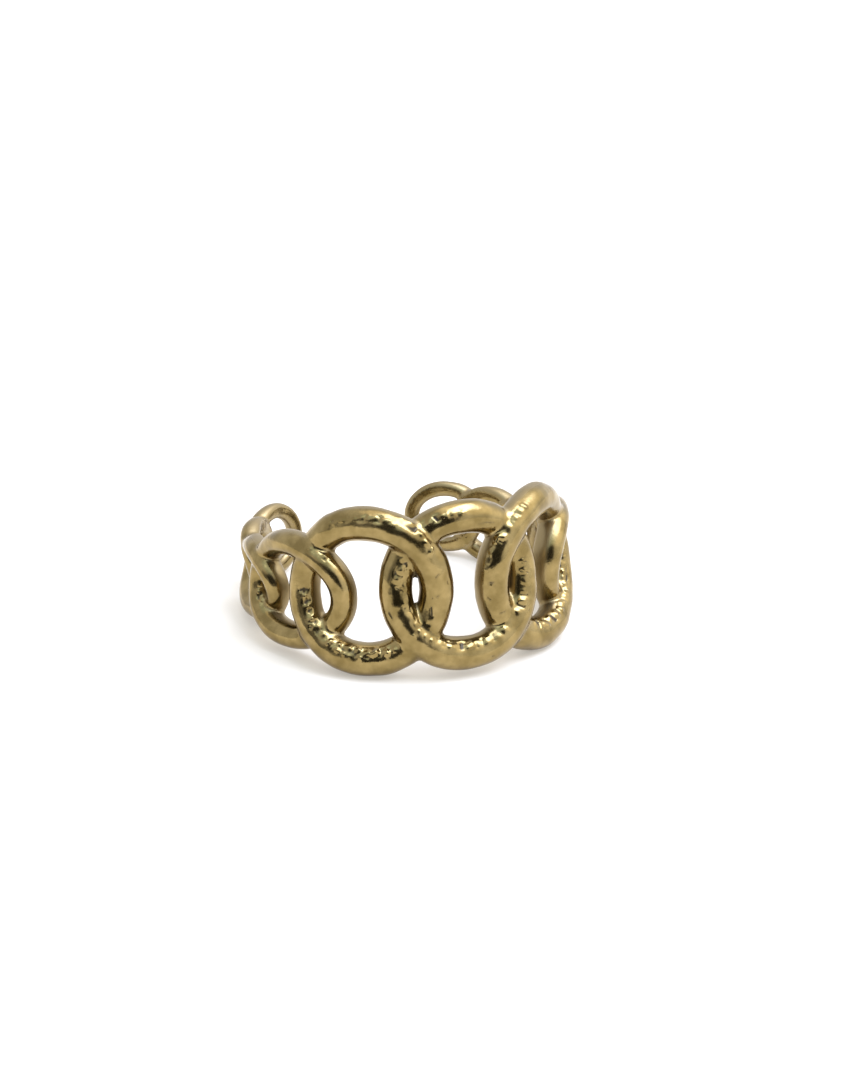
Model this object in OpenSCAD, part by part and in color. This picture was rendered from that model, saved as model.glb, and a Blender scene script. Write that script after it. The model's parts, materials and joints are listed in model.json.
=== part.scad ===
// Open finger ring in the form of lapping curb links, lying on its side

/* [Finger] */
// Diameter of the finger hollow
finger_d = 17.8; // [16:0.1:20]

/* [Centre link] */
// Length of the centre link, measured along the band
link_l = 10.6; // [10:0.1:11.4]
// Height of the centre link
link_h = 10.5; // [8:0.1:12]

/* [Wire] */
// Width of the centre link's wire, seen from outside the ring
wire_w = 2.05; // [1.7:0.05:2.5]
// Thickness of the thickest link's wire, from the finger outwards
wire_t = 2.1; // [1.7:0.05:2.5]
// How far a wire rises over its neighbour, or dips under it, where they cross
weave = 0.25; // [0.12:0.01:0.35]
// How deep the wire's inner side is ground flat for the finger
ground = 0.2; // [0.1:0.01:0.3]

/* [Hidden] */

// Columns of LINKS, which has a row for each link from the centre to an end
LENGTH = 0; // share of link_l
HEIGHT = 1; // share of link_h
WIDTH = 2; // share of wire_w
THICKNESS = 3; // share of wire_t
LAP = 4; // share of link_l that lies over the link in the row before
DROP = 5; // share of link_h by which the link hangs below the middle of the centre link
LINKS = [
  [1.000, 1.000, 0.990, 0.950, 0.000, 0.000],
  [0.980, 1.000, 1.020, 1.000, 0.425, 0.000],
  [0.825, 0.710, 0.770, 0.935, 0.420, 0.025],
  [0.700, 0.510, 0.610, 0.800, 0.300, 0.040],
  [0.560, 0.515, 0.560, 0.630, 0.285, 0.010],
  [0.540, 0.465, 0.500, 0.585, 0.230, -0.030],
];
last = len(LINKS) - 1;

// Cross-sections round each link, and sides of each cross-section
sections = 40;
sides = 12;
// Step in degrees along a link over which its direction is measured
nudge = 0.1;
// Rounds in which the tilt of the ring at rest is found
rounds = 4;

bore_r = finger_d / 2;

function length_of(k) = link_l * LINKS[k][LENGTH];
function height_of(k) = link_h * LINKS[k][HEIGHT];
function width_of(k) = wire_w * LINKS[k][WIDTH];
function thickness_of(k) = wire_t * LINKS[k][THICKNESS];

// Size of link k's wire at angle t, where 0 faces the end of the band. On that side it thins
// from its own size to halfway to the next link's. The centre link and the end link keep theirs.
function thinned(own, next, t) = own + (next - own) / 2 * pow(max(cos(t), 0), 2);
function width_at(k, t) =
  k == 0 || k == last ? width_of(k) : thinned(width_of(k), width_of(k + 1), t);
function thickness_at(k, t) =
  k == 0 || k == last ? thickness_of(k) : thinned(thickness_of(k), thickness_of(k + 1), t);

// Radius round the finger of the middle of a wire of this thickness
function middle_r(thickness) = bore_r + thickness / 2 - ground;

// Angle that a length along the band covers on link k
function sweep(length, k) = length / middle_r(thickness_of(k)) * 180 / PI;

// Angle round the finger from the centre link to link k
function turn(k) =
  k == 0 ? 0
  : turn(k - 1) + sweep((length_of(k - 1) + length_of(k)) / 2 - link_l * LINKS[k][LAP], k);

// How far link k's wire lies outwards at angle t
function rise(k, t) =
  k == 0 ? -2 * weave * sin(t) * abs(cos(t))
  : k == last && cos(t) > 0 ? 0
  : -2 * weave * sin(t) * cos(t);

// Middle of link k's wire at angle t, on the side of the ring that side gives as 1 or -1
function middle(k, side, t) =
  let (
    half_l = (length_of(k) - width_at(k, t)) / 2,
    half_h = (height_of(k) - width_at(k, t)) / 2,
    angle = side * (turn(k) + sweep(half_l * cos(t), k)),
    r = middle_r(thickness_at(k, t)) + rise(k, t)
  )
  [r * sin(angle), -r * cos(angle), half_h * sin(t) - link_h * LINKS[k][DROP]];

function unit(v) = v / norm(v);

// Points of one cross-section, an oval square to the wire
function section(k, side, t) =
  let (
    centre = middle(k, side, t),
    direction = unit(middle(k, side, t + nudge) - middle(k, side, t - nudge)),
    radial = unit([centre.x, centre.y, 0]),
    outward = unit(radial - (radial * direction) * direction),
    across = cross(direction, outward)
  )
  [
    for (i = [0:sides - 1])
      let (a = 360 * i / sides)
      centre + width_at(k, t) / 2 * cos(a) * across + thickness_at(k, t) / 2 * sin(a) * outward
  ];

// Every point of a link, cross-section by cross-section
function link_points(k, side) =
  [for (j = [0:sections - 1]) each section(k, side, 360 * (j + 0.5) / sections)];

function corner(j, i) = (j % sections) * sides + i % sides;

// Two triangles for each cell between neighbouring cross-sections
wire_faces = [
  for (j = [0:sections - 1])
    for (i = [0:sides - 1])
      each [
        [corner(j, i), corner(j + 1, i + 1), corner(j + 1, i)],
        [corner(j, i), corner(j, i + 1), corner(j + 1, i + 1)],
      ]
];

// Turns points about X, so that the back of the ring comes down
function tilted(points, tilt) =
  [for (p = points) [p.x, p.y * cos(tilt) + p.z * sin(tilt), p.z * cos(tilt) - p.y * sin(tilt)]];

function lowest(points, tilt) =
  let (heights = [for (p = tilted(points, tilt)) p.z])
  points[search(min(heights), heights)[0]];

// Tilt at which the widest links and those at the back stand on one level
front_points = concat(link_points(0, 1), link_points(1, 1));
back_points = [for (k = [3:last]) each link_points(k, 1)];
function rest_tilt(n) =
  n < 1 ? 0
  : let (
      before = rest_tilt(n - 1),
      f = lowest(front_points, before),
      b = lowest(back_points, before)
    )
    atan((b.z - f.z) / (b.y - f.y));

tilt = rest_tilt(rounds);
all_points = tilted([for (k = [0:last]) each link_points(k, 1)], tilt);
floor_z = min([for (p = all_points) p.z]);
middle_y = (min([for (p = all_points) p.y]) + max([for (p = all_points) p.y])) / 2;

// One closed link, wrapped round the finger
module chain_link(k, side) {
  polyhedron(link_points(k, side), wire_faces);
}

// The cast ring, with its links fused where they cross
module link_band() {
  color([0.64, 0.57, 0.38])
    translate([0, -middle_y, -floor_z])
      rotate([-tilt, 0, 0])
        difference() {
          union() {
            chain_link(0, 1);
            for (side = [-1, 1])
              for (k = [1:last])
                chain_link(k, side);
          }
          cylinder(h = 2 * link_h, d = finger_d, center = true, $fn = 90);
        }
}

link_band();
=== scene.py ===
"""Looks of the open chain link ring: fused, hammered curb links in antique brass on a pale floor.

The ring's own frame has its axis on Z and the centre link at -Y, and its lengths are in millimetres
until the mesh is put in its place. Link 0 is the centre link, and links 1 to 5 follow it on either
side. The angle t runs round a link, from 0 at its end farther from the centre link, over its top.
"""

import json
import math

import bmesh
import bpy
import numpy as np
from mathutils import Matrix, Vector


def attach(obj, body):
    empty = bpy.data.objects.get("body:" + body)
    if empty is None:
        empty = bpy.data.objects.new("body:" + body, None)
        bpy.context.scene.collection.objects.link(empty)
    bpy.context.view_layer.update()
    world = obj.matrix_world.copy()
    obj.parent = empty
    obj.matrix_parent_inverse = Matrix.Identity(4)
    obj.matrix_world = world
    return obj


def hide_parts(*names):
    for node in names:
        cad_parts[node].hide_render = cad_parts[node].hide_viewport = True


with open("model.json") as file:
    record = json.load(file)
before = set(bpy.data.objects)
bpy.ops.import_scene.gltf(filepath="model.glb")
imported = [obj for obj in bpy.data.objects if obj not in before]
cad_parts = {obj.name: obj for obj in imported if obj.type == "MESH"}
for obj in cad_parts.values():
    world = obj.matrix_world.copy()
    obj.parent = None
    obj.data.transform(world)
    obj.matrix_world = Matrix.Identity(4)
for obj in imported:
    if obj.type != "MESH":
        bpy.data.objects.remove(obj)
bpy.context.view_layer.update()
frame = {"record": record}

MM = 0.001
# Keeps divisors above 0
TINY = 1e-9

# The sizes of part.scad
BORE_R = 17.8 / 2
LINK_L = 10.6
LINK_H = 10.5
WIRE_W = 2.05
WIRE_T = 2.1
WEAVE = 0.25
GROUND = 0.2
# For each link: its length, height, width, thickness, lap over the link before and drop, as shares
# of LINK_L, LINK_H, WIRE_W, WIRE_T, LINK_L and LINK_H
LINKS = (
    (1.000, 1.000, 0.990, 0.950, 0.000, 0.000),
    (0.980, 1.000, 1.020, 1.000, 0.425, 0.000),
    (0.825, 0.710, 0.770, 0.935, 0.420, 0.025),
    (0.700, 0.510, 0.610, 0.800, 0.300, 0.040),
    (0.560, 0.515, 0.560, 0.630, 0.285, 0.010),
    (0.540, 0.465, 0.500, 0.585, 0.230, -0.030),
)
LAST = len(LINKS) - 1

# The mount's axis is the ring's own, so it gives the ring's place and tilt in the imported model
MOUNT = frame["record"]["mounts"][0]
TILT = math.atan2(MOUNT["axis"][1], MOUNT["axis"][2])
RING_ORIGIN = np.array(MOUNT["pos_m"]) / MM


def smoothstep(low, high, x):
    s = np.clip((x - low) / (high - low), 0, 1)
    return s * s * (3 - 2 * s)


def unit(v):
    return v / np.linalg.norm(v, axis=-1, keepdims=True)


def turn_of(points):
    """Angle of each point round the finger, from the centre link."""
    return np.arctan2(points[:, 0], -points[:, 1])


# ---- links ----
# Softens the corner in a link's over and under where it turns back
TURN_BACK = 0.2
# Gives the end links the rise that the softening takes from them
END_RISE = 1.2
# Steps in the table of lengths along the wire
TABLE_STEPS = 720
# Step of t to either side over which a wire's direction is measured
NUDGE = 0.001
# Rounds in which a wire's nearest place is found, on the unrolled oval and then in space, and the
# most that t changes in one of the latter
OVAL_ROUNDS, SPACE_ROUNDS = 5, 2
MOST_TURN = 0.1


class Link:
    """One closed link, with the formulas that part.scad has for it."""

    def __init__(self, k, side, turn):
        length, height, width, thickness, _, drop = LINKS[k]
        # The side towards the end of the band thins halfway to the next link's wire
        _, _, next_width, next_thickness, _, _ = LINKS[k + 1 if 0 < k < LAST else k]
        self.k, self.side, self.turn = k, side, turn
        self.half_w, self.half_t = WIRE_W * width / 2, WIRE_T * thickness / 2
        self.more_w = WIRE_W * (next_width - width) / 4
        self.more_t = WIRE_T * (next_thickness - thickness) / 4
        self.half_length, self.half_height = LINK_L * length / 2, LINK_H * height / 2
        self.drop = LINK_H * drop
        self.mean_half = (self.half_w + self.half_t) / 2
        self.middle_r = BORE_R + self.half_t - GROUND
        self.table_t = np.linspace(0, 2 * math.pi, TABLE_STEPS + 1)
        steps = np.linalg.norm(np.diff(self.middle(self.table_t), axis=0), axis=1)
        self.table_s = np.concatenate([[0], np.cumsum(steps)])
        self.around = self.table_s[-1]

    def halves(self, t):
        """Half the wire's width and half its thickness at t."""
        far = np.clip(np.cos(t), 0, None) ** 2
        return self.half_w + self.more_w * far, self.half_t + self.more_t * far

    def rise(self, t):
        """How far the wire lies outwards at t."""
        s, c = np.sin(t), np.cos(t)
        if self.k == 0:
            c = np.sqrt(c * c + TURN_BACK**2) - TURN_BACK
        elif self.k == LAST:
            c = (c - np.sqrt(c * c + TURN_BACK**2) + TURN_BACK) / 2 * END_RISE
        return -2 * WEAVE * s * c

    def middle(self, t):
        """Middle of the wire at t."""
        half_w, half_t = self.halves(t)
        angle = self.side * (self.turn + (self.half_length - half_w) * np.cos(t) / self.middle_r)
        r = BORE_R + half_t - GROUND + self.rise(t)
        z = (self.half_height - half_w) * np.sin(t) - self.drop
        return np.stack([r * np.sin(angle), -r * np.cos(angle), z], -1)

    def length_to(self, t):
        """Length along the wire from 0 to t, which is at most one turn."""
        return np.interp(t, self.table_t, self.table_s)

    def frame_at(self, t):
        """Middle of the wire at t, and the directions to the link's rim and from the finger."""
        centre = self.middle(t)
        along = unit(self.middle(t + NUDGE) - self.middle(t - NUDGE))
        radial = unit(centre * (1, 1, 0))
        outward = unit(radial - (radial * along).sum(-1, keepdims=True) * along)
        return centre, self.side * np.cross(along, outward), outward

    def nearest(self, points):
        """Angle t of the wire's nearest place to each point."""
        theta = turn_of(points) * self.side
        theta = np.where(theta < self.turn - math.pi, theta + 2 * math.pi, theta)
        u, v = (theta - self.turn) * self.middle_r, points[:, 2] + self.drop
        a, b = self.half_length - self.half_w, self.half_height - self.half_w
        au, av = np.abs(u), np.abs(v)
        # On the unrolled oval, by the circle that fits it best at the place found before
        cu = cv = np.full(len(points), math.sqrt(0.5))
        for _ in range(OVAL_ROUNDS):
            ex, ey = (a * a - b * b) * cu**3 / a, (b * b - a * a) * cv**3 / b
            r = np.hypot(a * cu - ex, b * cv - ey)
            q = np.hypot(au - ex, av - ey) + TINY
            cu = np.clip(((au - ex) * r / q + ex) / a, 0, 1)
            cv = np.clip(((av - ey) * r / q + ey) / b, 0, 1)
            n = np.hypot(cu, cv) + TINY
            cu, cv = cu / n, cv / n
        t = np.arctan2(cv * np.sign(v), cu * np.sign(u))
        for _ in range(SPACE_ROUNDS):
            along = (self.middle(t + NUDGE) - self.middle(t - NUDGE)) / (2 * NUDGE)
            step = ((points - self.middle(t)) * along).sum(-1) / (along**2).sum(-1)
            t = t + np.clip(step, -MOST_TURN, MOST_TURN)
        return t

    def across(self, points):
        """Each point's t, and its distances to the rim's side and outwards from the middle."""
        t = self.nearest(points)
        centre, rim, outward = self.frame_at(t)
        d = points - centre
        return t, (d * rim).sum(-1), (d * outward).sum(-1)

    def depth(self, t, x, y):
        """Signed distance to the wire's oval, negative inside."""
        half_w, half_t = self.halves(t)
        rho = np.hypot(x / half_w, y / half_t)
        slope = np.hypot(x / half_w**2, y / half_t**2) + TINY
        return rho * (rho - 1) / slope


def make_links():
    made, turn = [], 0.0
    for k, (length, _, _, thickness, lap, _) in enumerate(LINKS):
        if k:
            apart = LINK_L * ((LINKS[k - 1][0] + length) / 2 - lap)
            turn += apart / (BORE_R + WIRE_T * thickness / 2 - GROUND)
        made.extend(Link(k, side, turn) for side in ((1,) if k == 0 else (-1, 1)))
    return made


links = make_links()
link_at = {(link.k, link.side): link for link in links}


# ---- hammered strips and marks ----
# Each row is one beaten strip: its link and side, where it starts and ends in degrees along the
# link, its middle there and half its width in degrees round the wire (the hole's side is above 0),
# the size of its facets along and across the wire and the depth of the grooves between them in mm,
# how much the facets slope, and the height in mm of the bump on each
STRIPS = (
    (0, 1, 146, 174, 2, 5, 16, 0.50, 0.50, 0.000, 0.18, 0.080),
    (0, 1, 156, 246, 35, 41, 14, 0.46, 0.50, 0.000, 0.12, 0.050),
    (0, 1, 244, 308, 41, 42, 14, 0.64, 0.90, 0.010, 0.20, 0.075),
    (0, 1, 322, 376, 37, 36, 16, 0.50, 0.75, 0.000, 0.12, 0.075),
    (0, 1, 92, 128, -30, -36, 12, 0.40, 0.42, 0.000, 0.20, 0.050),
    (1, -1, 66, 114, -27, -34, 12, 0.40, 0.40, 0.000, 0.20, 0.060),
    (1, -1, 116, 130, -56, -50, 14, 0.46, 0.60, 0.000, 0.16, 0.070),
    (1, -1, 262, 308, 34, 37, 18, 0.46, 0.42, 0.000, 0.10, 0.100),
    (1, -1, 236, 266, 25, 31, 14, 0.50, 0.60, 0.000, 0.15, 0.110),
    (1, -1, 312, 330, 40, 42, 15, 0.50, 0.50, 0.000, 0.20, 0.090),
    (1, 1, 116, 150, -46, -48, 14, 0.36, 0.90, 0.000, 0.08, 0.070),
    (1, 1, 146, 172, -62, -60, 10, 0.44, 0.60, 0.000, 0.12, 0.080),
    (1, 1, 250, 306, 36, 56, 17, 0.56, 0.80, 0.000, 0.15, 0.100),
    (1, 1, 306, 372, 54, 50, 15, 0.48, 0.60, 0.000, 0.16, 0.085),
    (2, -1, 118, 140, -46, -47, 12, 0.38, 0.50, 0.000, 0.12, 0.045),
    (2, -1, 325, 356, 60, 64, 15, 0.48, 0.60, 0.000, 0.16, 0.060),
    (2, 1, 250, 300, 50, 55, 14, 0.48, 0.60, 0.000, 0.16, 0.065),
)
# Single marks: link and side, degrees along it and round the wire, length, half width and depth in
# mm, and direction in degrees from the wire's own. A mark of negative depth stands out.
MARKS = (
    (1, -1, 133, -45, 0.02, 0.16, -0.09, 0),
    (1, -1, 139, -33, 0.04, 0.20, -0.12, 0),
    (1, -1, 145, -27, 0.25, 0.08, -0.08, 70),
    (1, -1, 326, 28, 0.05, 0.11, 0.07, 80),
    (1, -1, 340, 46, 0.10, 0.12, 0.08, 20),
    (1, -1, 349, 44, 0.18, 0.15, 0.10, 50),
    (1, -1, 358, 36, 0.10, 0.09, 0.06, 20),
    (1, -1, 360, 30, 0.25, 0.13, 0.09, 70),
    (1, -1, 360, 44, 0.20, 0.08, 0.06, 60),
    (1, -1, 344, 47, 0.05, 0.13, -0.06, 0),
    (1, -1, 354, 40, 0.05, 0.13, -0.06, 0),
    (1, -1, 332, 46, 0.10, 0.14, -0.07, 30),
    (0, 1, 217, 4, 0.02, 0.11, -0.07, 0),
    (0, 1, 176, 12, 0.35, 0.05, 0.05, 70),
    (0, 1, 190, -2, 0.30, 0.05, -0.03, 80),
    (0, 1, 3, 32, 0.45, 0.05, 0.06, 60),
    (0, 1, 12, 26, 0.35, 0.05, 0.06, 80),
    (0, 1, 75, 14, 1.10, 0.06, 0.04, 10),
    (0, 1, 196, -30, 0.40, 0.06, 0.05, 20),
    (0, 1, 330, 2, 0.12, 0.08, 0.04, 0),
    (0, 1, 285, -20, 0.10, 0.07, 0.04, 0),
    (1, -1, 196, 20, 0.55, 0.07, 0.07, -20),
    (1, -1, 182, 17, 0.45, 0.06, 0.04, 75),
    (1, -1, 208, 12, 0.30, 0.06, 0.04, 70),
    (1, -1, 163, -4, 0.45, 0.05, 0.04, 55),
    (1, -1, 172, -32, 0.12, 0.08, 0.04, 0),
    (1, 1, 153, -13, 0.70, 0.05, 0.05, -15),
    (1, 1, 178, -38, 0.30, 0.05, 0.06, 80),
    (1, 1, 204, -16, 0.70, 0.05, 0.04, 80),
    (1, 1, 190, -50, 0.35, 0.05, 0.04, 60),
)
# How far a facet's middle strays from its row, as shares of its length and width
STRAY_ALONG, STRAY_ACROSS = 0.40, 0.38
# How far a strip fades to either side of its ends and of its edges, in mm
SOFT_END, SOFT_EDGE = 0.2, 0.09
# How far grooves, slopes and bumps reach, as shares of a facet's size
GROOVE_REACH, SLOPE_REACH, BUMP_REACH = 0.5, 0.40, 0.42
# How much the bumps differ in height, and the share of a bump that lies below the plain wire
BUMP_SPREAD, BUMP_BASE = 0.5, 0.4
# Cover below which a strip is left out
LEAST_COVER = 0.01
# Ripples all over the metal: their number, their least and greatest length, and their height on
# links 0 and 1 and on the others
WAVES = 28
WAVE_LENGTHS = (0.8, 2.6)
RIPPLE, BACK_RIPPLE = 0.012, 0.006

rng = np.random.default_rng(11)


class Strip:
    """A beaten strip, with the middles, heights and slopes of its facets."""

    def __init__(self, link, start, end, first, last, half, along, across, depth, slope, bump):
        self.along, self.across = along, across
        self.depth, self.slope, self.bump = depth, slope, bump
        per_degree = math.radians(1) * link.mean_half
        self.first, self.last, self.half = first * per_degree, last * per_degree, half * per_degree
        self.start, self.around = link.length_to(math.radians(start)), link.around
        # A strip may run on past t = 360 degrees
        before = link.length_to(math.radians(min(end, 360))) - self.start
        self.length = before + link.length_to(math.radians(max(end - 360, 0)))
        count = max(2, round(self.length / along))
        rows = max(1, round(2 * self.half / across))
        # Each facet's middle along and across the strip, its bump's height and its two slopes
        made = []
        for row in range(rows):
            stray = rng.uniform(-STRAY_ALONG, STRAY_ALONG, count + 2)
            s = (np.arange(-1, count + 1) + 0.5 + stray) * self.length / count
            stray = rng.uniform(-STRAY_ACROSS, STRAY_ACROSS, count + 2)
            q = (row + 0.5) / rows * 2 * self.half - self.half + stray * across
            made.append(np.stack([s, q, *rng.uniform(-1, 1, (3, count + 2))], -1))
        self.cells = np.concatenate(made)

    def locate(self, s, q):
        """Each point's length from the strip's start and from its middle line, and its cover."""
        # Up to a quarter turn before the start counts as before it, and the rest as after it
        s = (s - self.start + self.around / 4) % self.around - self.around / 4
        share = np.clip(s / self.length, 0, 1)
        q = q - self.first - (self.last - self.first) * share
        ends = smoothstep(-SOFT_END, SOFT_END, s)
        ends = ends * smoothstep(self.length + SOFT_END, self.length - SOFT_END, s)
        edges = smoothstep(self.half + SOFT_EDGE, self.half - SOFT_EDGE, np.abs(q))
        return s, q, ends * edges

    def height(self, s, q):
        """Height of the strip at each point."""
        s, q, cover = self.locate(s, q)
        result = np.zeros(len(s))
        live = np.flatnonzero(cover > LEAST_COVER)
        if not len(live):
            return result
        ds = s[live][:, None] - self.cells[None, :, 0]
        dq = q[live][:, None] - self.cells[None, :, 1]
        apart = np.hypot(ds / self.along, dq / self.across)
        nearest, second = np.partition(apart, 1, axis=1)[:, :2].T
        groove = self.depth * (1 - smoothstep(0.0, GROOVE_REACH, second - nearest))
        weight = np.exp(-((apart / SLOPE_REACH) ** 2)) + TINY
        weight /= weight.sum(-1, keepdims=True)
        slope = self.slope * (weight * (self.cells[:, 3] * ds + self.cells[:, 4] * dq)).sum(-1)
        dome = np.exp(-((apart / BUMP_REACH) ** 2))
        bump = (dome * (1 + BUMP_SPREAD * self.cells[:, 2])).sum(-1) - BUMP_BASE
        result[live] = cover[live] * (slope - groove + self.bump * bump)
        return result


strips = {place: [] for place in link_at}
for k, side, *numbers in STRIPS:
    strips[k, side].append(Strip(link_at[k, side], *numbers))

waves = rng.normal(size=(3, WAVES))
waves *= 2 * math.pi / rng.uniform(*WAVE_LENGTHS, WAVES) / np.linalg.norm(waves, axis=0)
wave_starts = rng.uniform(0, 2 * math.pi, WAVES)


def place_on(link, t, x, y):
    """Lengths in mm along the wire and round it from its crest, with the hole's side above 0."""
    psi = np.arctan2(-x / link.half_w, y / link.half_t)
    return link.length_to(t % (2 * math.pi)), psi * link.mean_half


def marks_on(link, s, q):
    """Height of the single marks at each point, and how far they cover it."""
    height, cover = np.zeros(len(s)), np.zeros(len(s))
    for k, side, degrees, psi, length, half, depth, direction in MARKS:
        if (k, side) != (link.k, link.side):
            continue
        ds = s - link.length_to(math.radians(degrees))
        ds = (ds + link.around / 2) % link.around - link.around / 2
        dq = q - math.radians(psi) * link.mean_half
        c, n = math.cos(math.radians(direction)), math.sin(math.radians(direction))
        along, across = ds * c + dq * n, dq * c - ds * n
        beyond = np.clip(np.abs(along) - length / 2, 0, None)
        shape = np.exp(-((np.hypot(across, beyond) / half) ** 2))
        height -= depth * shape
        cover = np.maximum(cover, shape)
    return height, cover


def wear(link, t, x, y):
    """Height of the marks and strips at each point of a link."""
    s, q = place_on(link, t, x, y)
    height, _ = marks_on(link, s, q)
    for strip in strips[link.k, link.side]:
        height += strip.height(s, q)
    return height


def relief(link, t, x, y, points):
    """Height of the wear and the ripples at each point of a link."""
    # The divisor makes the ripples' mean square 1
    ripple = np.sin(points @ waves + wave_starts).sum(-1) / math.sqrt(WAVES / 2)
    return wear(link, t, x, y) + (RIPPLE if link.k < 2 else BACK_RIPPLE) * ripple


# ---- mesh ----
# Cross-sections round each link of the first mesh, and sides of each
SECTIONS, SIDES = 144, 36
# Cells of the mesh that replaces it, and how that is smoothed: share of the way to the
# neighbours' mean, and rounds
VOXEL = 0.15
RELAX_SHARE, RELAX_ROUNDS = 0.5, 4
# Reach of the fillets between fused links, and of the rounding of the ground inner side's edges
FILLET, ROUND_OVER = 0.22, 0.25
# Distance up to which a point's depth in a link is worked out, and what stands for it beyond
MARGIN, FAR = 0.6, 9.0
# Distance from a link's surface within which its relief counts
RELIEF_REACH = 0.5
# The most that a point moves in one round of settling
MOST_STEP = 0.15
# Rounds of settling: at first, after each refining, and with the relief
PLAIN_ROUNDS, FINER_ROUNDS, WORN_ROUNDS = 3, 1, 4
# Cover above which the mesh is refined, the first and the second time
REFINE_ABOVE = (0.02, 0.2)
# Heights of the wear between which a hollow darkens
HOLLOW = (-0.022, -0.06)
# Degrees round the wire from its crest between which its sides begin, and between which they end
SIDE_BEGINS, SIDE_ENDS = (60, 84), (158, 136)


def tube_mesh():
    """The links as plain overlapping tubes, in one mesh."""
    t = np.arange(SECTIONS) * 2 * math.pi / SECTIONS
    a = np.arange(SIDES) * 2 * math.pi / SIDES
    verts, faces = [], []
    for link in links:
        centre, rim, outward = link.frame_at(t)
        half_w, half_t = link.halves(t)
        rings = (
            centre[:, None]
            + (half_w[:, None] * np.cos(a))[..., None] * rim[:, None]
            + (half_t[:, None] * np.sin(a))[..., None] * outward[:, None]
        )
        base = len(verts) * SECTIONS * SIDES
        verts.append(rings.reshape(-1, 3))
        for j in range(SECTIONS):
            for i in range(SIDES):
                corners = ((j, i), (j, i + 1), (j + 1, i + 1), (j + 1, i))
                corners = [base + (p % SECTIONS) * SIDES + q % SIDES for p, q in corners]
                faces.append(corners[::-1] if link.side > 0 else corners)
    mesh = bpy.data.meshes.new("tubes")
    mesh.from_pydata(np.concatenate(verts).tolist(), [], faces)
    return mesh


def remeshed(mesh):
    """The mesh as one closed skin of even cells, a little smoothed."""
    source = bpy.data.objects.new("source", mesh)
    bpy.context.scene.collection.objects.link(source)
    remesh = source.modifiers.new("remesh", "REMESH")
    remesh.mode, remesh.voxel_size = "VOXEL", VOXEL
    relax = source.modifiers.new("relax", "SMOOTH")
    relax.factor, relax.iterations = RELAX_SHARE, RELAX_ROUNDS
    depsgraph = bpy.context.evaluated_depsgraph_get()
    result = bpy.data.meshes.new_from_object(source.evaluated_get(depsgraph))
    bpy.data.objects.remove(source)
    return result


def read_vectors(items, name):
    values = np.empty(len(items) * 3)
    items.foreach_get(name, values)
    return values.reshape(-1, 3)


def coordinates(mesh):
    return read_vectors(mesh.vertices, "co")


def set_coordinates(mesh, co):
    mesh.vertices.foreach_set("co", np.ascontiguousarray(co, dtype=np.float32).ravel())
    mesh.update()


def blend(difference, reach):
    """How much is added or taken off where two distances differ by less than the reach."""
    gap = np.clip(reach - np.abs(difference), 0, None) / reach
    return gap * gap * reach / 4


def ring_field(points, height):
    """Signed distance to the fused ring, with its links' surfaces raised by height if given."""
    near = np.full((len(points), len(links)), FAR)
    for j, link in enumerate(links):
        theta = turn_of(points) * link.side
        reach = (link.half_length + MARGIN) / link.middle_r
        beside = np.abs((theta - link.turn + math.pi) % (2 * math.pi) - math.pi) < reach
        level = np.abs(points[:, 2] + link.drop) < link.half_height + MARGIN
        chosen = np.flatnonzero(beside & level)
        t, x, y = link.across(points[chosen])
        d = link.depth(t, x, y)
        if height is not None:
            close = d < RELIEF_REACH
            d[close] -= height(link, t[close], x[close], y[close], points[chosen][close])
        near[chosen, j] = d
    near.sort(axis=1)
    field = near[:, 0]
    for j in (1, 2):
        field = np.minimum(field, near[:, j]) - blend(near[:, j] - field, FILLET)
    bore = BORE_R - np.hypot(points[:, 0], points[:, 1])
    return np.maximum(field, bore) + blend(bore - field, ROUND_OVER)


def settle(mesh, height, rounds):
    """Moves the mesh's points along their normals onto the ring's surface."""
    for _ in range(rounds):
        co = coordinates(mesh)
        step = np.clip(ring_field(co, height), -MOST_STEP, MOST_STEP)
        normals = read_vectors(mesh.vertex_normals, "vector")
        set_coordinates(mesh, co - step[:, None] * normals)


def refine(mesh, mask):
    """Halves the mesh's cells wherever the mask is set on all of a face's corners."""
    bm = bmesh.new()
    bm.from_mesh(mesh)
    chosen = [face for face in bm.faces if all(mask[v.index] for v in face.verts)]
    edges = list(dict.fromkeys(edge for face in chosen for edge in face.edges))
    bmesh.ops.subdivide_edges(bm, edges=edges, cuts=1, use_grid_fill=True, smooth=0)
    bm.to_mesh(mesh)
    bm.free()
    mesh.update()


def beaten(link, t, x, y):
    """How far strips and marks cover each point of a link, from 0 to 1."""
    s, q = place_on(link, t, x, y)
    _, cover = marks_on(link, s, q)
    for strip in strips[link.k, link.side]:
        cover = np.maximum(cover, strip.locate(s, q)[2])
    return cover


def hollow(link, t, x, y):
    """How far each point is down in a pit or between beads, from 0 to 1."""
    return smoothstep(*HOLLOW, wear(link, t, x, y)) * beaten(link, t, x, y)


def wall(link, t, x, y):
    """How far each point is on a wire's sides, which were left as cast, from 0 to 1."""
    psi = np.degrees(np.abs(np.arctan2(x / link.half_w, y / link.half_t)))
    return smoothstep(*SIDE_BEGINS, psi) * smoothstep(*SIDE_ENDS, psi)


# What each attribute of the mesh measures, and the distances inside and outside of a link's
# surface, in mm, within which that counts
ATTRIBUTES = {
    "wall": (wall, 0.12, 0.12),
    "beaten": (beaten, math.inf, 0.05),
    "hollow": (hollow, 0.2, 0.2),
}


def attribute(mesh, name):
    """The attribute's value at each point of the mesh, the largest of all the links'."""
    measure, inside, outside = ATTRIBUTES[name]
    co = coordinates(mesh)
    largest = np.zeros(len(co))
    for link in links:
        t, x, y = link.across(co)
        depth = link.depth(t, x, y)
        counts = (depth > -inside) & (depth < outside)
        largest = np.maximum(largest, np.where(counts, measure(link, t, x, y), 0))
    return largest


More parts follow.
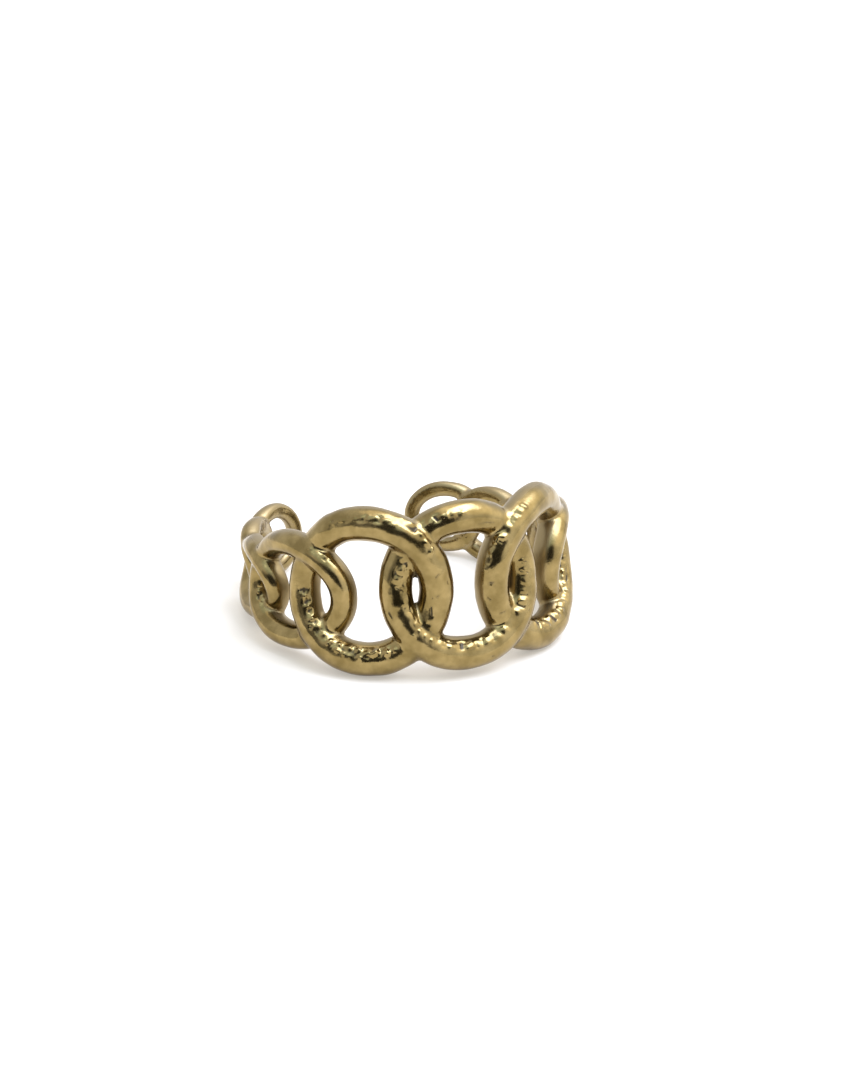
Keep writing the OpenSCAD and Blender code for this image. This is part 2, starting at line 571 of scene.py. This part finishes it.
def build_ring():
    mesh = remeshed(tube_mesh())
    settle(mesh, None, PLAIN_ROUNDS)
    for least in REFINE_ABOVE:
        refine(mesh, attribute(mesh, "beaten") > least)
        settle(mesh, None, FINER_ROUNDS)
    settle(mesh, relief, WORN_ROUNDS)
    for name in ATTRIBUTES:
        values = attribute(mesh, name).astype(np.float32)
        mesh.attributes.new(name, "FLOAT", "POINT").data.foreach_set("value", values)
    lean = np.array(Matrix.Rotation(-TILT, 3, "X"))
    set_coordinates(mesh, (coordinates(mesh) @ lean.T + RING_ORIGIN) * MM)
    mesh.name = "link_band_worn"
    for polygon in mesh.polygons:
        polygon.use_smooth = True
    ring = bpy.data.objects.new("link_band_worn", mesh)
    bpy.context.scene.collection.objects.link(ring)
    return ring


# ---- materials ----
# Each noise's scale, per metre, and detail
TONE_NOISE, SHINE_NOISE, GRAIN_NOISE = (900, 8), (1500, 4), (2600, 4)
# Each ramp's start and its colour there, then its end and its colour there
TONE_RAMP = (0.36, (0.208, 0.149, 0.054), 0.64, (0.340, 0.250, 0.102))
SHINE_RAMP = (0.35, (0.13, 0.13, 0.13), 0.7, (0.22, 0.22, 0.22))
# The painted shade's ramp: recesses darken towards its first colour, by how much of the
# surroundings other metal hides
RECESS_SHADE_RAMP = (0.15, (0.52, 0.48, 0.44), 0.62, (1, 1, 1))
# Width of the recesses in which shade is painted into the colour, and height of the grain, in
# metres
RECESS_SHADE_REACH, GRAIN_HEIGHT = 0.0009, 0.00004
GRAIN_STRENGTH = 0.3
# Colour, or None to keep the tone, and roughness where each of the mesh's attributes is 1
PLACES = (
    ("beaten", None, (0.21, 0.21, 0.21)),
    ("wall", (0.31, 0.235, 0.115), (0.40, 0.40, 0.40)),
    ("hollow", (0.062, 0.050, 0.034), (0.45, 0.45, 0.45)),
)
FLOOR_INPUTS = {
    "Base Color": (0.54, 0.50, 0.425, 1),
    "Roughness": 0.7,
    "Emission Color": (1, 0.95, 0.87, 1),
    "Emission Strength": 0.38,
}
# Places of the colours among a mix node's sockets
MIX_FIRST, MIX_SECOND, MIX_RESULT = 6, 7, 2


def new_material(name):
    material = bpy.data.materials.new(name)
    material.use_nodes = True
    tree = material.node_tree
    return material, tree, tree.nodes["Principled BSDF"]


def fill(tree, socket, value):
    """Sets an input to a number or tuple, or links an output to it."""
    if isinstance(value, (int, float, tuple)):
        socket.default_value = value
    else:
        tree.links.new(value, socket)


def noise(tree, scale, detail):
    texture = tree.nodes.new("ShaderNodeTexNoise")
    texture.inputs["Scale"].default_value = scale
    texture.inputs["Detail"].default_value = detail
    place = tree.nodes.new("ShaderNodeTexCoord")
    tree.links.new(place.outputs["Object"], texture.inputs["Vector"])
    return texture.outputs["Fac"]


def ramp(tree, value, low, low_color, high, high_color):
    node = tree.nodes.new("ShaderNodeValToRGB")
    first, second = node.color_ramp.elements
    first.position, first.color = low, (*low_color, 1)
    second.position, second.color = high, (*high_color, 1)
    tree.links.new(value, node.inputs["Fac"])
    return node.outputs["Color"]


def mix(tree, share, first, second, kind="MIX"):
    """Mixes two colours by a share, each of them fixed or an output."""
    node = tree.nodes.new("ShaderNodeMix")
    node.data_type, node.blend_type = "RGBA", kind
    fill(tree, node.inputs["Factor"], share)
    for place, color in ((MIX_FIRST, first), (MIX_SECOND, second)):
        fill(tree, node.inputs[place], (*color, 1) if isinstance(color, tuple) else color)
    return node.outputs[MIX_RESULT]


def brass_material():
    """Polished antique brass, duller on the wires' sides and dark in pits, with painted shade that
    darkens and browns its recesses.
    """
    material, tree, shader = new_material("antique_brass")
    shader.inputs["Metallic"].default_value = 1.0
    tone = ramp(tree, noise(tree, *TONE_NOISE), *TONE_RAMP)
    rough = ramp(tree, noise(tree, *SHINE_NOISE), *SHINE_RAMP)
    for name, color, grey in PLACES:
        place = tree.nodes.new("ShaderNodeAttribute")
        place.attribute_name = name
        if color:
            tone = mix(tree, place.outputs["Fac"], tone, color)
        rough = mix(tree, place.outputs["Fac"], rough, grey)
    # Painted shade: the colour is darkened where other metal hems a point in, as ambient occlusion
    # finds it
    recess = tree.nodes.new("ShaderNodeAmbientOcclusion")
    recess.inputs["Distance"].default_value = RECESS_SHADE_REACH
    painted_shade = ramp(tree, recess.outputs["AO"], *RECESS_SHADE_RAMP)
    tree.links.new(mix(tree, 1.0, tone, painted_shade, "MULTIPLY"), shader.inputs["Base Color"])
    tree.links.new(rough, shader.inputs["Roughness"])
    grain = tree.nodes.new("ShaderNodeBump")
    grain.inputs["Strength"].default_value = GRAIN_STRENGTH
    grain.inputs["Distance"].default_value = GRAIN_HEIGHT
    tree.links.new(noise(tree, *GRAIN_NOISE), grain.inputs["Height"])
    tree.links.new(grain.outputs["Normal"], shader.inputs["Normal"])
    return material


def floor_material():
    material, _, shader = new_material("floor")
    for name, value in FLOOR_INPUTS.items():
        shader.inputs[name].default_value = value
    return material


# ---- stage ----
# The photograph's camera, in the ring's frame turned by the tilt: distance and shift in mm, angles
# in degrees
CAMERA_DISTANCE = 134.947
CAMERA_AZIMUTH = -24.791
CAMERA_ELEVATION = 23.407
CAMERA_ROLL = -2.250
CAMERA_SHIFT = (-1.905, -0.904)
FOCAL_PIXELS = 2099.65
PHOTO_WIDTH = 864
SENSOR_WIDTH = 36
# In metres
CLIP_START, CLIP_END = 0.001, 10
FLOOR_HALF = 3.0

# The room's light. Azimuths are degrees from the camera's. Reaches are degrees from the middle of a
# lamp or a dark place: it has its full strength in the inner one and ends at the outer one.
WALLS = (1.05, 1.08, 1.18)
# Azimuth, elevation, inner and outer reach of the brighter side, and the shares of the walls' light
# beyond it and in it
BRIGHT_SIDE = (90, 10, 45, 107, 0.92, 1.3)
# The same four of each soft lamp, and the light that it adds
LAMPS = (
    (92, 69, 7, 29, (5.8, 6.9, 10.2)),
    (95, 50, 8, 50, (0.9, 0.8, 0.6)),
    (-168, 72, 6, 24, (1.1, 1.0, 0.9)),
    (-5, 66, 10, 40, (0.0, 0.22, 0.35)),
    (-30, 62, 2, 9, (1.2, 1.3, 1.4)),
)
# The same four of the dark places round the camera, and the share of light left in each
DARKS = (
    (4, 12, 22, 37, 0.05),
    (-44, 8, 3, 20, 0.30),
    (-26, 20, 3, 13, 0.30),
)


def direction_of(azimuth, elevation):
    """Unit vector for angles in degrees, with azimuths from -Y towards +X."""
    a, e = math.radians(azimuth), math.radians(elevation)
    return math.sin(a) * math.cos(e), -math.cos(a) * math.cos(e), math.sin(e)


def make_camera():
    back = Vector(direction_of(CAMERA_AZIMUTH, CAMERA_ELEVATION))
    right = Vector(direction_of(CAMERA_AZIMUTH + 90, 0))
    up = back.cross(right)
    place = back * CAMERA_DISTANCE - right * CAMERA_SHIFT[0] - up * CAMERA_SHIFT[1]
    roll = math.radians(CAMERA_ROLL)
    image_x = right * math.cos(roll) - up * math.sin(roll)
    image_y = right * math.sin(roll) + up * math.cos(roll)
    turned = Matrix((image_x, image_y, back)).transposed().to_4x4()
    data = bpy.data.cameras.new("camera")
    data.sensor_fit = "HORIZONTAL"
    data.sensor_width = SENSOR_WIDTH
    data.lens = FOCAL_PIXELS * SENSOR_WIDTH / PHOTO_WIDTH
    data.clip_start, data.clip_end = CLIP_START, CLIP_END
    camera = bpy.data.objects.new("camera", data)
    camera.matrix_world = Matrix.Translation((place + Vector(RING_ORIGIN)) * MM) @ turned
    bpy.context.scene.collection.objects.link(camera)
    bpy.context.scene.camera = camera


def make_floor():
    mesh = bpy.data.meshes.new("floor")
    corners = [(x * FLOOR_HALF, y * FLOOR_HALF, 0) for x, y in ((-1, -1), (1, -1), (1, 1), (-1, 1))]
    mesh.from_pydata(corners, [], [(0, 1, 2, 3)])
    mesh.materials.append(floor_material())
    floor = bpy.data.objects.new("floor", mesh)
    bpy.context.scene.collection.objects.link(floor)


def make_world():
    """Soft studio surroundings: brighter at the right, lamps above and dark round the camera."""
    world = bpy.data.worlds.new("room")
    bpy.context.scene.world = world
    world.use_nodes = True
    tree = world.node_tree
    view = tree.nodes.new("ShaderNodeTexCoord").outputs["Generated"]

    def vector_node(operation, first, second, output=0):
        node = tree.nodes.new("ShaderNodeVectorMath")
        node.operation = operation
        fill(tree, node.inputs[0], first)
        fill(tree, node.inputs["Scale"] if operation == "SCALE" else node.inputs[1], second)
        return node.outputs[output]

    def share_at(azimuth, elevation, inner, outer, beyond=0.0, within=1.0):
        """A share that changes between two reaches from a direction of the room."""
        middle = direction_of(CAMERA_AZIMUTH + azimuth, elevation)
        node = tree.nodes.new("ShaderNodeMapRange")
        node.interpolation_type = "SMOOTHSTEP"
        fill(tree, node.inputs["Value"], vector_node("DOT_PRODUCT", view, middle, "Value"))
        fill(tree, node.inputs["From Min"], math.cos(math.radians(outer)))
        fill(tree, node.inputs["From Max"], math.cos(math.radians(inner)))
        fill(tree, node.inputs["To Min"], beyond)
        fill(tree, node.inputs["To Max"], within)
        return node.outputs["Result"]

    light = vector_node("SCALE", WALLS, share_at(*BRIGHT_SIDE))
    for *place, more in LAMPS:
        light = vector_node("ADD", light, vector_node("SCALE", more, share_at(*place)))
    for *place, left in DARKS:
        light = vector_node("SCALE", light, share_at(*place, 1.0, left))
    # What the camera sees past the floor is plain white
    seen = tree.nodes.new("ShaderNodeLightPath").outputs["Is Camera Ray"]
    color = mix(tree, seen, light, (1, 1, 1))
    tree.links.new(color, tree.nodes["Background"].inputs["Color"])


ring = build_ring()
ring.data.materials.append(brass_material())
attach(ring, "root")
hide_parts("link_band")

make_camera()
make_floor()
make_world()
bpy.context.scene.view_settings.view_transform = "Standard"
